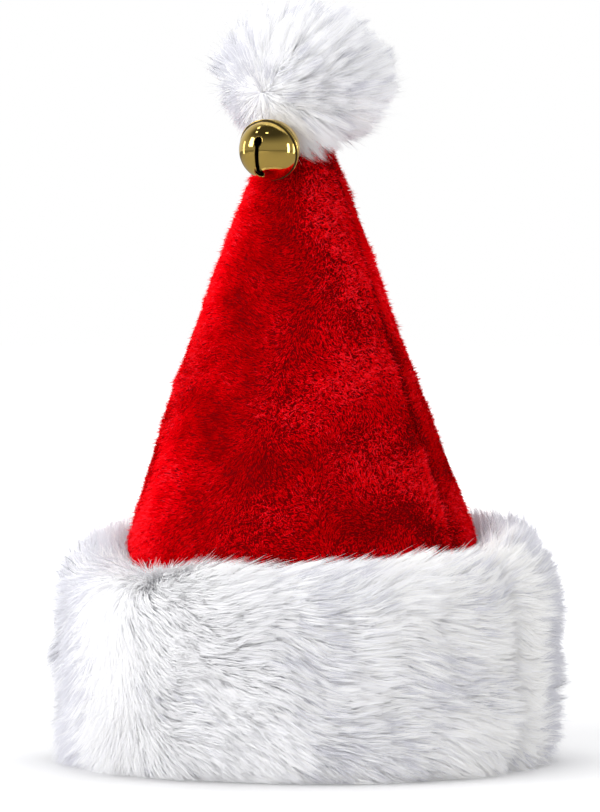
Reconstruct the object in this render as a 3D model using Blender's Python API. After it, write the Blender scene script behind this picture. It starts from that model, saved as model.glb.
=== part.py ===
"""A plush santa hat with a folded fur band, a fur pompom and a jingle bell, standing on its band.

Sizes are in millimetres and become metres as each mesh is stored. The origin is at the middle of
the band's underside, +X is to the wearer's left and -Y is the side that carries the bell. An azimuth
is counted in degrees from -Y towards +X.
"""

import math
import random
from collections import namedtuple

import bmesh
import bpy
from mathutils import Matrix, Vector

MM = 0.001
TOUCH = 0.3
MERGE = 0.001
SHARP_ANGLE = 50.0
EVEN_STEPS = 42

# Crown: a cone of plush cloth, each row a section of its outer face
WALL = 3.0
CrownRow = namedtuple("CrownRow", "height middle half_width half_depth")
CROWN_TABLE = (
    (6.0, 0.0, 96.0, 86.0),
    (60.0, -1.5, 93.5, 84.0),
    (98.0, -3.5, 89.0, 80.5),
    (111.0, -4.0, 86.5, 78.5),
    (131.0, -4.8, 79.7, 72.5),
    (156.0, -6.0, 71.3, 65.5),
    (181.0, -7.0, 62.4, 57.8),
    (206.0, -7.5, 53.4, 50.0),
    (231.0, -7.4, 44.6, 42.2),
    (254.0, -7.4, 36.4, 34.8),
    (281.0, -7.0, 26.4, 25.5),
    (296.0, -6.8, 20.2, 19.6),
    (308.0, -6.5, 15.4, 15.0),
    (316.0, -6.2, 11.6, 11.4),
    (320.0, -6.0, 8.0, 8.0),
)
CROWN_ROWS = [CrownRow(*row) for row in CROWN_TABLE]
LINED_ROWS = 13
CROWN_SEAM = 60.0
CROWN_SEAM_STEPS = (-4.5, -1.3, 1.3, 4.5)
GROOVE_FLOOR = 1.5
CROWN_GROOVE = 4.6
RELIEF_FROM = 95.0
RELIEF_RISE = 30.0
RELIEF_FADE_FROM = 200.0
RELIEF_FADE = 100.0
RELIEF_LOST = 0.6
PANEL_BULGE = 3.0
PANEL_REACH = 34.0
FOLD_AT = 27.0
FOLD_WIDTH = 15.0
FOLD_HEIGHT = 1.3
DENT_DEPTH = 1.1
DENT_HEIGHT = 70.0
DENT_TURN = 30.0
GATHERS = 9
GATHER_DEPTH = 0.5
GATHERS_FROM = 290.0
GATHERS_RISE = 15.0

# Band: a padded ring of fur, each row a corner of its section, outward from the crown's cloth
CuffRow = namedtuple("CuffRow", "outward height locks_above")
CUFF_TABLE = (
    (-2.6, 0.0, False),
    (-2.6, 5.7, False),
    (0.7, 5.7, False),
    (0.7, 60.0, False),
    (0.7, 97.0, False),
    (4.0, 101.5, True),
    (12.0, 103.5, True),
    (21.0, 101.0, True),
    (27.5, 92.0, True),
    (29.6, 78.0, True),
    (28.6, 62.0, True),
    (27.8, 46.0, True),
    (27.2, 30.0, True),
    (26.4, 15.0, True),
    (23.0, 3.0, False),
    (15.0, 0.0, False),
)
CUFF_ROWS = [CuffRow(*row) for row in CUFF_TABLE]
FUR_FROM = 5
FUR_TO = 14
CUFF_TUCK = 97.0
CUFF_SEAM = 56.0
CUFF_SEAM_STEPS = (-3.2, 0.0, 3.2)
CUFF_GROOVE = 8.0
CUFF_FULL = 20.0
RIGHT_RISE = 7.0
RIGHT_RISE_AT = 100.0
RISE_FROM = 20.0
RISE_OVER = 80.0
SWELL = 1.2
SWELLS = 3
SWELL_TWIST = 0.05
RUFFLE_TURN = 1.4
RUFFLE_HEIGHT = 2.4

# Locks: tapered tufts drawn out of a backing
LOCK_WAIST = 0.58
LOCK_SHORTEST = 0.8
LOCK_LONGEST = 1.15
CUFF_LOCK = 7.0
CUFF_LOCK_LEAN = 1.5
CUFF_LOCK_FLARE = 0.7
CUFF_LOCK_TOSS = 0.12
POMPOM_LOCK = 13.5
POMPOM_LOCK_LEAN = 0.85
POMPOM_LOCK_DROOP = 0.75
LEAST_LOCK = 0.5
SHORTENING = 0.85
LOCK_HALF_WIDTH = 2.6
CROWN_CLEAR = 2.0
BELL_CLEAR = 0.6
THREAD_CLEAR = 3.6

# Pompom: an oval head with locks swept away from its parting
POMPOM_AT = Vector((-1.5, 0.0, 340.0))
POMPOM_HALF = Vector((31.0, 29.0, 22.0))
POMPOM_PARTING = Vector((-0.61, -0.76, -0.21))
POMPOM_CELLS = 6
CELL_EVENING = 0.9

# Bell: two pressed cups. Its own Z runs out through the slot's middle and its Y along the slot
BELL_AT = Vector((-20.2, -32.0, 305.1))
BELL_POLE = Vector((-0.42, -0.847, -0.326))
BELL_SLOT = Vector((-0.047, -0.338, 0.940))
BELL_RADIUS = 15.0
BELL_WALL = 0.8
BELL_SIDES = 24
BELL_ARC_STEPS = 6
RIM_REACH = 0.8
RIM_DEPTH = 1.0
SLOT_WIDTH = 1.75
CUT_DEPTH = 7.5
HOLE_RADIUS = 2.2
HOLE_ANGLE = 33.0
HOLE_SIDES = 12
BACK_RIM_REACH = 0.5
EYE_RADIUS = 2.6
EYE_WIRE = 0.7
EYE_WIRE_SIDES = 6
EYE_SEGMENTS = 12
EYE_SINK = 0.7
THREAD_RADIUS = 2.2
THREAD_THICK = 0.4
THREAD_SIDES = 5
THREAD_SEGMENTS = 10
THREAD_SLACK = 0.5
PELLET_RADIUS = 3.2
PELLET_DROP = 10.6

COLOURS = {
    "crown": ((0.52, 0.004, 0.016), 0.85, 0.0),
    "cuff": ((0.86, 0.86, 0.88), 0.9, 0.0),
    "pompom": ((0.86, 0.86, 0.88), 0.9, 0.0),
    "bell_front_cup": ((0.80, 0.55, 0.18), 0.15, 1.0),
    "bell_back_cup": ((0.80, 0.55, 0.18), 0.15, 1.0),
    "bell_pellet": ((0.35, 0.34, 0.32), 0.4, 1.0),
    "bell_thread": ((0.45, 0.01, 0.02), 0.9, 0.0),
}


def clear_scene():
    for thing in list(bpy.data.objects):
        bpy.data.objects.remove(thing, do_unlink=True)


def material_for(name):
    colour, roughness, metallic = COLOURS[name]
    material = bpy.data.materials.new(name)
    material.use_nodes = True
    shader = material.node_tree.nodes["Principled BSDF"]
    shader.inputs["Base Color"].default_value = (*colour, 1.0)
    shader.inputs["Roughness"].default_value = roughness
    shader.inputs["Metallic"].default_value = metallic
    return material


def store(name, bm, place=None, guide=False):
    """Turns a mesh made in millimetres into an object in metres, at place or at the origin."""
    bmesh.ops.recalc_face_normals(bm, faces=bm.faces)
    bmesh.ops.scale(bm, vec=(MM, MM, MM), verts=bm.verts)
    mesh = bpy.data.meshes.new(name)
    bm.to_mesh(mesh)
    bm.free()
    thing = bpy.data.objects.new(name, mesh)
    bpy.context.collection.objects.link(thing)
    if place:
        thing.matrix_world = place
    if guide:
        thing.hide_render = True
        thing.display_type = "WIRE"
        return thing
    mesh.shade_smooth()
    mesh.set_sharp_from_angle(angle=math.radians(SHARP_ANGLE))
    mesh.materials.append(material_for(name))
    return thing


def turned(azimuth):
    return math.sin(math.radians(azimuth)), -math.cos(math.radians(azimuth))


def apart(azimuth, other):
    """How far azimuth lies past other, from -180 to 180 degrees."""
    return (azimuth - other + 180.0) % 360.0 - 180.0


def eased(value):
    value = min(max(value, 0.0), 1.0)
    return value * value * (3.0 - 2.0 * value)


def stations(seam, steps):
    """Azimuths round the oval: even steps, with the seam's own stations in place of those near it."""
    even = [360.0 * i / EVEN_STEPS for i in range(EVEN_STEPS)]
    reach = max(steps) + 120.0 / EVEN_STEPS
    kept = [azimuth for azimuth in even if abs(apart(azimuth, seam)) > reach]
    return sorted(kept + [seam + step for step in steps])


def crown_section(height):
    """The crown's outer oval at a height: its middle, half width and half depth."""
    rows = CROWN_ROWS
    for low, high in zip(rows, rows[1:]):
        if height <= high.height:
            break
    share = min(max((height - low.height) / (high.height - low.height), 0.0), 1.0)
    return [a + (b - a) * share for a, b in zip(low[1:], high[1:])]


def crown_relief(azimuth, height, groove):
    """How far the cloth stands out at a point: the front panel's edge, one fold, dents and gathers."""
    past = apart(azimuth, CROWN_SEAM)
    fade = RELIEF_LOST * eased((height - RELIEF_FADE_FROM) / RELIEF_FADE)
    above = eased((height - RELIEF_FROM) / RELIEF_RISE) * (1.0 - fade)
    relief = 0.0
    if past < 0.0:
        relief += PANEL_BULGE * above * eased(1.0 + past / PANEL_REACH)
    if groove and abs(past) <= GROOVE_FLOOR:
        relief -= CROWN_GROOVE * above + PANEL_BULGE * above * (past < 0.0)
    relief += FOLD_HEIGHT * above * math.exp(-((apart(azimuth, FOLD_AT) / FOLD_WIDTH) ** 2))
    wave = math.sin(math.radians(2.0 * azimuth) + height / DENT_HEIGHT * math.tau)
    relief += DENT_DEPTH * above * wave * math.cos(math.radians(azimuth + DENT_TURN)) ** 2
    gathered = eased((height - GATHERS_FROM) / GATHERS_RISE)
    relief += GATHER_DEPTH * gathered * math.cos(math.radians(GATHERS * azimuth))
    return relief


def crown_point(azimuth, height, outward=0.0, groove=True):
    middle, half_width, half_depth = crown_section(height)
    across, along = turned(azimuth)
    out = outward + crown_relief(azimuth, height, groove)
    return Vector((middle + (half_width + out) * across, (half_depth + out) * along, height))


def skin(bm, rows):
    """Draws a ring of edges through each row of points, and returns the rings and each stretch's faces."""
    verts = [bm.verts.new(point) for point in rows[0]]
    rings = [[bm.edges.new((verts[i - 1], verts[i])) for i in range(len(verts))]]
    stretches = []
    for points in rows[1:]:
        grown = bmesh.ops.extrude_edge_only(bm, edges=rings[-1])["geom"]
        fresh = {part for part in grown if isinstance(part, bmesh.types.BMVert)}
        verts = [
            next(edge.other_vert(vert) for edge in vert.link_edges if edge.other_vert(vert) in fresh)
            for vert in verts
        ]
        for vert, point in zip(verts, points):
            vert.co = point
        stretches.append([part for part in grown if isinstance(part, bmesh.types.BMFace)])
        rings.append([bm.edges.get((verts[i - 1], verts[i])) for i in range(len(verts))])
    return rings, stretches


def make_crown():
    bm = bmesh.new()
    round_it = stations(CROWN_SEAM, CROWN_SEAM_STEPS)
    outer = [[crown_point(azimuth, row.height) for azimuth in round_it] for row in CROWN_ROWS]
    inner = [
        [crown_point(azimuth, row.height, outward=-WALL) for azimuth in round_it]
        for row in CROWN_ROWS[:LINED_ROWS:2]
    ]
    rings, _ = skin(bm, inner[::-1] + outer)
    for end in (rings[0], rings[-1]):
        bmesh.ops.contextual_create(bm, geom=end)
    return store("crown", bm)


def cuff_rise(azimuth, height):
    """The band stands higher at its right end than at its left."""
    side = max(0.0, math.cos(math.radians(apart(azimuth, RIGHT_RISE_AT)))) ** 1.5
    return RIGHT_RISE * side * eased((height - RISE_FROM) / RISE_OVER)


def cuff_point(azimuth, outward, height):
    """A corner of the band's section, outward from the crown's cloth."""
    low = CROWN_ROWS[0].height
    point = crown_point(azimuth, min(max(height, low), CUFF_TUCK), groove=False)
    if outward > WALL:
        thick = eased(outward / CUFF_FULL)
        outward += SWELL * thick * math.sin(math.radians(SWELLS * azimuth) + SWELL_TWIST * height)
        if azimuth == CUFF_SEAM:
            outward -= CUFF_GROOVE * thick
        height += cuff_rise(azimuth, height)
    across, along = turned(azimuth)
    return Vector((point.x + outward * across, point.y + outward * along, height))


def cuff_ring(round_it, row, furry, rng):
    """One corner row of the band, unevenly spaced where the fur grows."""
    points = []
    for azimuth in round_it:
        height = row.height
        if furry and abs(apart(azimuth, CUFF_SEAM)) > max(CUFF_SEAM_STEPS):
            azimuth += rng.uniform(-RUFFLE_TURN, RUFFLE_TURN)
            height += rng.uniform(-RUFFLE_HEIGHT, RUFFLE_HEIGHT)
        points.append(cuff_point(azimuth, row.outward, height))
    return points


def grow_locks(bm, faces, plan):
    """Draws each face out into a tapered lock. plan gives its height and its way for a centre and normal."""
    tips = []
    for face in bmesh.ops.extrude_discrete_faces(bm, faces=faces)["faces"]:
        centre = face.calc_center_median()
        height, way = plan(centre, face.normal.copy())
        for vert in face.verts:
            vert.co = centre + (vert.co - centre) * LOCK_WAIST + way * height * 0.5
        tips.append((face, centre + way * height))
    for face, tip in tips:
        bmesh.ops.poke(bm, faces=[face])["verts"][0].co = tip


def cuff_lock_plan(rng):
    middle = max(row.height for row in CUFF_ROWS) / 2.0

    def plan(centre, normal):
        around = Vector((-centre.y, centre.x, 0.0)).normalized()
        flare = CUFF_LOCK_FLARE * ((centre.z - middle) / middle) ** 3
        lean = CUFF_LOCK_LEAN * rng.uniform(LOCK_SHORTEST, LOCK_LONGEST)
        toss = rng.uniform(-CUFF_LOCK_TOSS, CUFF_LOCK_TOSS)
        way = normal + around * lean + Vector((0.0, 0.0, flare + toss))
        return CUFF_LOCK * rng.uniform(LOCK_SHORTEST, LOCK_LONGEST), way

    return plan


def in_groove(point):
    foot = CROWN_ROWS[0]
    azimuth = math.degrees(math.atan2(point.x / foot.half_width, -point.y / foot.half_depth))
    return abs(apart(azimuth, CUFF_SEAM)) < max(CUFF_SEAM_STEPS)


def make_cuff():
    bm = bmesh.new()
    rng = random.Random(5)
    round_it = stations(CUFF_SEAM, CUFF_SEAM_STEPS)
    rows = [
        cuff_ring(round_it, row, FUR_FROM < i < FUR_TO, rng) for i, row in enumerate(CUFF_ROWS)
    ]
    _, stretches = skin(bm, rows + rows[:1])
    bmesh.ops.remove_doubles(bm, verts=bm.verts, dist=MERGE)
    bmesh.ops.recalc_face_normals(bm, faces=bm.faces)
    bm.normal_update()
    furry = [
        face
        for row, faces in zip(CUFF_ROWS, stretches)
        if row.locks_above
        for face in faces
        if not in_groove(face.calc_center_median())
    ]
    grow_locks(bm, furry, cuff_lock_plan(rng))
    return store("cuff", bm)


def bell_seat():
    """Where the thread meets the crown: straight behind the bell's eye."""
    reach = BELL_RADIUS + EYE_RADIUS - EYE_SINK + 2.0 * THREAD_RADIUS
    return BELL_AT - BELL_POLE.normalized() * reach


def beside_line(point, start, end):
    along = end - start
    share = min(max((point - start).dot(along) / along.length_squared, 0.0), 1.0)
    return (point - start - along * share).length


def pompom_clear(point, margin):
    """Whether a lock may reach a point without meeting the crown, the bell or its thread."""
    middle, half_width, half_depth = crown_section(point.z)
    out = math.hypot((point.x - middle) / half_width, point.y / half_depth)
    beside = (out - 1.0) * half_depth
    if point.z < CROWN_ROWS[-1].height + margin and beside < margin + CROWN_CLEAR:
        return False
    if (point - BELL_AT).length < BELL_RADIUS + RIM_REACH + margin + BELL_CLEAR:
        return False
    return beside_line(point, BELL_AT, bell_seat()) > margin + THREAD_CLEAR


def lock_clear(root, way):
    return pompom_clear(root + way, TOUCH) and pompom_clear(root + way * 0.5, LOCK_HALF_WIDTH)


def pompom_lock_plan(rng):
    parting = POMPOM_PARTING.normalized()

    def plan(centre, normal):
        sweep = parting - normal * parting.dot(normal)
        way = normal - sweep * POMPOM_LOCK_LEAN * rng.uniform(LOCK_SHORTEST, LOCK_LONGEST)
        way.z = max(way.z, -POMPOM_LOCK_DROOP)
        height = POMPOM_LOCK * rng.uniform(LOCK_SHORTEST, LOCK_LONGEST)
        while height > LEAST_LOCK and not lock_clear(centre, way * height):
            height *= SHORTENING
        return height, way

    return plan


def make_pompom():
    bm = bmesh.new()
    bmesh.ops.create_cube(bm, size=2.0)
    bmesh.ops.subdivide_edges(bm, edges=bm.edges, cuts=POMPOM_CELLS - 1, use_grid_fill=True)
    seat = CROWN_ROWS[-1].height + TOUCH
    for vert in bm.verts:
        way = Vector([math.tan(part * math.pi / 4.0 * CELL_EVENING) for part in vert.co]).normalized()
        vert.co = POMPOM_AT + way * POMPOM_HALF
        vert.co.z = max(vert.co.z, seat)
    bm.normal_update()
    furry = [face for face in bm.faces if face.calc_center_median().z > seat + TOUCH]
    grow_locks(bm, furry, pompom_lock_plan(random.Random(11)))
    return store("pompom", bm)


def bell_place():
    """The bell's own axes in the hat, in metres."""
    z_axis = BELL_POLE.normalized()
    x_axis = BELL_SLOT.cross(z_axis).normalized()
    y_axis = z_axis.cross(x_axis)
    turn = Matrix((x_axis, y_axis, z_axis)).transposed().to_4x4()
    return Matrix.Translation(BELL_AT * MM) @ turn


def cup_mesh(side, reach):
    """Half a hollow ball about Z, with its mouth's rim rolled out by reach. side is 1 or -1 along Z."""
    bm = bmesh.new()
    start = math.asin(RIM_DEPTH / BELL_RADIUS)
    profile = []
    for i in range(BELL_ARC_STEPS + 1):
        angle = start + (math.pi / 2.0 - start) * (1.0 - i / BELL_ARC_STEPS)
        profile.append((BELL_RADIUS * math.cos(angle), BELL_RADIUS * math.sin(angle)))
    profile.append((BELL_RADIUS + reach, RIM_DEPTH - TOUCH / 2.0))
    profile.append((BELL_RADIUS + reach, TOUCH))
    within = BELL_RADIUS - BELL_WALL
    profile.append((within, TOUCH / 2.0))
    for i in range(1, BELL_ARC_STEPS + 1):
        angle = math.pi / 2.0 * i / BELL_ARC_STEPS
        profile.append((within * math.cos(angle), within * math.sin(angle)))
    verts = [bm.verts.new((r, 0.0, z * side)) for r, z in profile]
    edges = [bm.edges.new(pair) for pair in zip(verts, verts[1:])]
    bmesh.ops.spin(
        bm,
        geom=verts + edges,
        cent=(0.0, 0.0, 0.0),
        axis=(0.0, 0.0, 1.0),
        angle=math.tau,
        steps=BELL_SIDES,
        use_merge=True,
    )
    bmesh.ops.remove_doubles(bm, verts=bm.verts, dist=MERGE)
    return bm


def wire_ring(radius, thick, middle, sides, segments, turn):
    """A closed wire ring about X, moved along Z to middle and turned about Z by turn degrees."""
    bm = bmesh.new()
    start = Matrix.Translation((0.0, radius, 0.0))
    bmesh.ops.create_circle(bm, segments=sides, radius=thick, matrix=start)
    bmesh.ops.spin(
        bm,
        geom=list(bm.verts) + list(bm.edges),
        cent=(0.0, 0.0, 0.0),
        axis=(1.0, 0.0, 0.0),
        angle=math.tau,
        steps=segments,
        use_merge=True,
    )
    bmesh.ops.remove_doubles(bm, verts=bm.verts, dist=MERGE)
    bmesh.ops.rotate(
        bm, verts=bm.verts, cent=(0.0, 0.0, 0.0), matrix=Matrix.Rotation(math.radians(turn), 3, "Z")
    )
    bmesh.ops.translate(bm, verts=bm.verts, vec=(0.0, 0.0, middle))
    return bm


def boolean(target, tool, operation):
    modifier = target.modifiers.new(tool.name, "BOOLEAN")
    modifier.operation = operation
    modifier.solver = "EXACT"
    modifier.object = tool


def slot_tools(place):
    """The slot and the round hole at each of its ends."""
    half = BELL_RADIUS * math.sin(math.radians(HOLE_ANGLE))
    bm = bmesh.new()
    bmesh.ops.create_cube(bm, size=1.0)
    bmesh.ops.scale(bm, vec=(SLOT_WIDTH, 2.0 * half, CUT_DEPTH), verts=bm.verts)
    bmesh.ops.translate(bm, verts=bm.verts, vec=(0.0, 0.0, BELL_RADIUS + 1.0 - CUT_DEPTH / 2.0))
    tools = [store("slot_tool", bm, place, guide=True)]
    for sign in (1.0, -1.0):
        bm = bmesh.new()
        turn = Matrix.Rotation(math.radians(-sign * HOLE_ANGLE), 4, "X")
        bmesh.ops.create_cone(
            bm,
            cap_ends=True,
            segments=HOLE_SIDES,
            radius1=HOLE_RADIUS,
            radius2=HOLE_RADIUS,
            depth=CUT_DEPTH,
            matrix=turn @ Matrix.Translation((0.0, 0.0, BELL_RADIUS)),
        )
        tools.append(store(f"hole_tool_{len(tools)}", bm, place, guide=True))
    return tools


def make_bell():
    place = bell_place()
    front = store("bell_front_cup", cup_mesh(1.0, RIM_REACH), place)
    for tool in slot_tools(place):
        boolean(front, tool, "DIFFERENCE")
    back = store("bell_back_cup", cup_mesh(-1.0, BACK_RIM_REACH), place)
    eye_at = -(BELL_RADIUS + EYE_RADIUS - EYE_SINK)
    wire = wire_ring(EYE_RADIUS, EYE_WIRE, eye_at, EYE_WIRE_SIDES, EYE_SEGMENTS, 0.0)
    boolean(back, store("eye_wire", wire, place, guide=True), "UNION")
    thread_at = eye_at - EYE_RADIUS - THREAD_SLACK
    thread = wire_ring(THREAD_RADIUS, THREAD_THICK, thread_at, THREAD_SIDES, THREAD_SEGMENTS, 90.0)
    store("bell_thread", thread, place)
    bm = bmesh.new()
    bmesh.ops.create_icosphere(bm, subdivisions=2, radius=PELLET_RADIUS)
    bmesh.ops.translate(bm, verts=bm.verts, vec=BELL_AT - Vector((0.0, 0.0, PELLET_DROP)))
    store("bell_pellet", bm)


clear_scene()
make_crown()
make_cuff()
make_pompom()
make_bell()
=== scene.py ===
import math
import bmesh
import bpy
import numpy as np
from mathutils import Matrix, Vector, kdtree


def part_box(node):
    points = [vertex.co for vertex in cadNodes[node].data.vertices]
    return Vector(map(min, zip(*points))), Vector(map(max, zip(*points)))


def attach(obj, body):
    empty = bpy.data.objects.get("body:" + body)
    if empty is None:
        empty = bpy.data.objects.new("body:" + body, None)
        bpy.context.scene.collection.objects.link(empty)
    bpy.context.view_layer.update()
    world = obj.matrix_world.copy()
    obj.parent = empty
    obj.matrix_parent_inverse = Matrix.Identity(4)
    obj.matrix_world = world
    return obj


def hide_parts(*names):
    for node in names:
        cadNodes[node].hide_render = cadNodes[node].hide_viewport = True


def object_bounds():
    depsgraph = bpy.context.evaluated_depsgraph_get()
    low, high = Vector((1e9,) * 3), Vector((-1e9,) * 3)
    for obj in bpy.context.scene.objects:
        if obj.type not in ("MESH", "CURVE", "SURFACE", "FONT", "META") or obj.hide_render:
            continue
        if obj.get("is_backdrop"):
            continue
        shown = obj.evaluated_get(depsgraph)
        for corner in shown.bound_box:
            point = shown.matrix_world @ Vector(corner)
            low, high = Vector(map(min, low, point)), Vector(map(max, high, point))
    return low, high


# A plush hat on a pale floor: red cone, white fur band and pompom, one jingle bell.
# Lengths here are millimetres, apart from the lights and the floor, which are in metres;
# meshes are scaled to metres when they are stored.
mm = 0.001
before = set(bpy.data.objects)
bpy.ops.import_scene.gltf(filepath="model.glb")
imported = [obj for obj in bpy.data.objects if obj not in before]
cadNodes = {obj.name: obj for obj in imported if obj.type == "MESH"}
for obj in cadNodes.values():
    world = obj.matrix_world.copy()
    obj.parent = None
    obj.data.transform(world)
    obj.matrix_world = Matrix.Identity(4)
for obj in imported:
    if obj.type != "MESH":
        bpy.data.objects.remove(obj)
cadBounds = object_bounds()
print("frame loaded:", ", ".join(sorted(cadNodes)))


def unit(vectors):
    return vectors / np.maximum(np.linalg.norm(vectors, axis=-1, keepdims=True), 1e-9)


def eased(value):
    value = np.clip(value, 0.0, 1.0)
    return value * value * (3.0 - 2.0 * value)


def columnsAt(table, value):
    # the table's other columns where its first column has this value
    table = np.array(table)
    return [np.interp(value, table[:, 0], column) for column in table.T[1:]]


def addObject(name, data):
    item = bpy.data.objects.new(name, data)
    bpy.context.scene.collection.objects.link(item)
    return item


def keepPiece(name, bm, materials, smooth=True):
    mesh = bpy.data.meshes.new(name)
    bm.to_mesh(mesh)
    bm.free()
    for polygon in mesh.polygons:
        polygon.use_smooth = smooth
    for material in materials:
        mesh.materials.append(material)
    return addObject(name, mesh)


def settle(piece):
    # the piece's modifiers become its mesh
    evaluated = piece.evaluated_get(bpy.context.evaluated_depsgraph_get())
    mesh = bpy.data.meshes.new_from_object(evaluated)
    old = piece.data
    piece.modifiers.clear()
    piece.data = mesh
    bpy.data.meshes.remove(old)
    mesh.name = piece.name


def rounded(piece):
    smooth = piece.modifiers.new("rounded", "SUBSURF")
    smooth.levels = smooth.render_levels = 1
    settle(piece)
    return piece


def newMaterial(name):
    material = bpy.data.materials.new(name)
    material.use_nodes = True
    return material, material.node_tree.nodes["Principled BSDF"]


def treeOf(owner):
    return owner.node_tree.nodes, owner.node_tree.links


def addFade(owner, value, low, high, atLow, atHigh):
    # a smooth change from atLow to atHigh while value goes from low to high
    nodes, links = treeOf(owner)
    node = nodes.new("ShaderNodeMapRange")
    node.interpolation_type = "SMOOTHSTEP"
    for label, number in (("From Min", low), ("From Max", high), ("To Min", atLow), ("To Max", atHigh)):
        node.inputs[label].default_value = number
    links.new(value, node.inputs["Value"])
    return node.outputs["Result"]


def addPick(owner, chooser, otherwise, chosen):
    # chosen where chooser is 1; each of the two is a number or another node's output
    nodes, links = treeOf(owner)
    node = nodes.new("ShaderNodeMix")
    links.new(chooser, node.inputs["Factor"])
    for value, socket in ((otherwise, node.inputs["A"]), (chosen, node.inputs["B"])):
        if isinstance(value, float):
            socket.default_value = value
        else:
            links.new(value, socket)
    return node.outputs["Result"]


def newGroup(name, takes, gives):
    group = bpy.data.node_groups.new(name, "ShaderNodeTree")
    for label, kind in takes:
        group.interface.new_socket(label, in_out="INPUT", socket_type="NodeSocket" + kind)
    for label, kind in gives:
        group.interface.new_socket(label, in_out="OUTPUT", socket_type="NodeSocket" + kind)
    nodes = group.nodes
    return group, nodes, group.links, nodes.new("NodeGroupInput"), nodes.new("NodeGroupOutput")


def makeGrain():
    # a fine cloudy change between two tones, and its height
    group, nodes, links, start, end = newGroup(
        "grain",
        [("Place", "Vector"), ("Scale", "Float"), ("Detail", "Float"), ("Dark", "Color"), ("Light", "Color")],
        [("Color", "Color"), ("Value", "Float")])
    cloud = nodes.new("ShaderNodeTexNoise")
    links.new(start.outputs["Place"], cloud.inputs["Vector"])
    links.new(start.outputs["Scale"], cloud.inputs["Scale"])
    links.new(start.outputs["Detail"], cloud.inputs["Detail"])
    tint = nodes.new("ShaderNodeMix")
    tint.data_type = "RGBA"
    links.new(cloud.outputs["Fac"], tint.inputs["Factor"])
    links.new(start.outputs["Dark"], tint.inputs["A"])
    links.new(start.outputs["Light"], tint.inputs["B"])
    links.new(tint.outputs["Result"], end.inputs["Color"])
    links.new(cloud.outputs["Fac"], end.inputs["Value"])
    return group


def makeKnitRows():
    # rows of stitches, one above the other
    group, nodes, links, start, end = newGroup(
        "knitRows", [("Place", "Vector"), ("Scale", "Float"), ("Distortion", "Float")], [("Value", "Float")])
    rows = nodes.new("ShaderNodeTexWave")
    rows.bands_direction = "Z"
    links.new(start.outputs["Place"], rows.inputs["Vector"])
    links.new(start.outputs["Scale"], rows.inputs["Scale"])
    links.new(start.outputs["Distortion"], rows.inputs["Distortion"])
    links.new(rows.outputs["Fac"], end.inputs["Value"])
    return group


def useGroup(material, group, values):
    # the group in this material, on Object coordinates, with its own values
    nodes, links = treeOf(material)
    where = nodes.get("where") or nodes.new("ShaderNodeTexCoord")
    where.name = "where"
    node = nodes.new("ShaderNodeGroup")
    node.node_tree = group
    links.new(where.outputs["Object"], node.inputs["Place"])
    for label, value in values.items():
        node.inputs[label].default_value = value
    return node


def addBump(material, height, strength, distance):
    nodes, links = treeOf(material)
    bump = nodes.new("ShaderNodeBump")
    bump.inputs["Strength"].default_value = strength
    bump.inputs["Distance"].default_value = distance
    links.new(height, bump.inputs["Height"])
    links.new(bump.outputs["Normal"], nodes["Principled BSDF"].inputs["Normal"])


grain = makeGrain()
knitRows = makeKnitRows()


def grainTint(material, scale, detail, dark, light):
    # the grain between two tones as the material's colour
    nodes, links = treeOf(material)
    tint = useGroup(material, grain, {"Scale": scale, "Detail": detail,
                                      "Dark": (*dark, 1.0), "Light": (*light, 1.0)})
    links.new(tint.outputs["Color"], nodes["Principled BSDF"].inputs["Base Color"])
    return tint


def slotTone(name, color, roughness=0.6, specular=0.3, sheen=0.0, sheenTint=(1, 1, 1)):
    # one flat tone for strands; the variety comes from many tones side by side
    material, shader = newMaterial(name)
    shader.inputs["Base Color"].default_value = (*color, 1.0)
    shader.inputs["Roughness"].default_value = roughness
    shader.inputs["Specular IOR Level"].default_value = specular
    shader.inputs["Sheen Weight"].default_value = sheen
    shader.inputs["Sheen Roughness"].default_value = 0.4
    shader.inputs["Sheen Tint"].default_value = (*sheenTint, 1.0)
    material.diffuse_color = (*color, 1.0)
    return material


def waves(points, size, seed):
    # soft bumps between -1 and 1, about size across
    rng = np.random.default_rng(seed)
    total = np.zeros(len(points))
    for _ in range(7):
        way = rng.normal(size=3)
        way *= 2.0 * math.pi / (size * rng.uniform(1.4, 3.0) * np.linalg.norm(way))
        total += np.sin(points @ way + rng.uniform(0.0, 2.0 * math.pi))
    return total / 2.6


def inOrder(bm):
    # welding orders corners and faces anew on each run, and the fur is scattered by their order
    for i, vert in enumerate(sorted(bm.verts, key=lambda vert: tuple(round(value, 6) for value in vert.co))):
        vert.index = i
    bm.verts.sort()
    for i, edge in enumerate(sorted(bm.edges, key=lambda edge: sorted(vert.index for vert in edge.verts))):
        edge.index = i
    bm.edges.sort()
    rings = []
    for face in bm.faces:
        ring = list(face.verts)
        first = min(range(len(ring)), key=lambda i: ring[i].index)
        rings.append(ring[first:] + ring[:first])
    rings.sort(key=lambda ring: [vert.index for vert in ring])
    bmesh.ops.delete(bm, geom=bm.faces[:], context="FACES_ONLY")
    for ring in rings:
        bm.faces.new(ring)


def surfaceOf(piece):
    # corner places, corner normals and areas of the finished surface's triangles, in millimetres
    evaluated = piece.evaluated_get(bpy.context.evaluated_depsgraph_get())
    mesh = evaluated.to_mesh()
    mesh.calc_loop_triangles()
    places = np.empty(len(mesh.vertices) * 3)
    mesh.vertices.foreach_get("co", places)
    places = places.reshape(-1, 3) / mm
    normals = np.empty(len(mesh.vertices) * 3)
    mesh.vertex_normals.foreach_get("vector", normals)
    normals = normals.reshape(-1, 3)
    corners = np.empty(len(mesh.loop_triangles) * 3, dtype=np.int32)
    mesh.loop_triangles.foreach_get("vertices", corners)
    corners = corners.reshape(-1, 3)
    evaluated.to_mesh_clear()
    a, b, c = (places[corners[:, i]] for i in range(3))
    area = np.linalg.norm(np.cross(b - a, c - a), axis=1) / 2.0
    return places[corners], normals[corners], area


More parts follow.
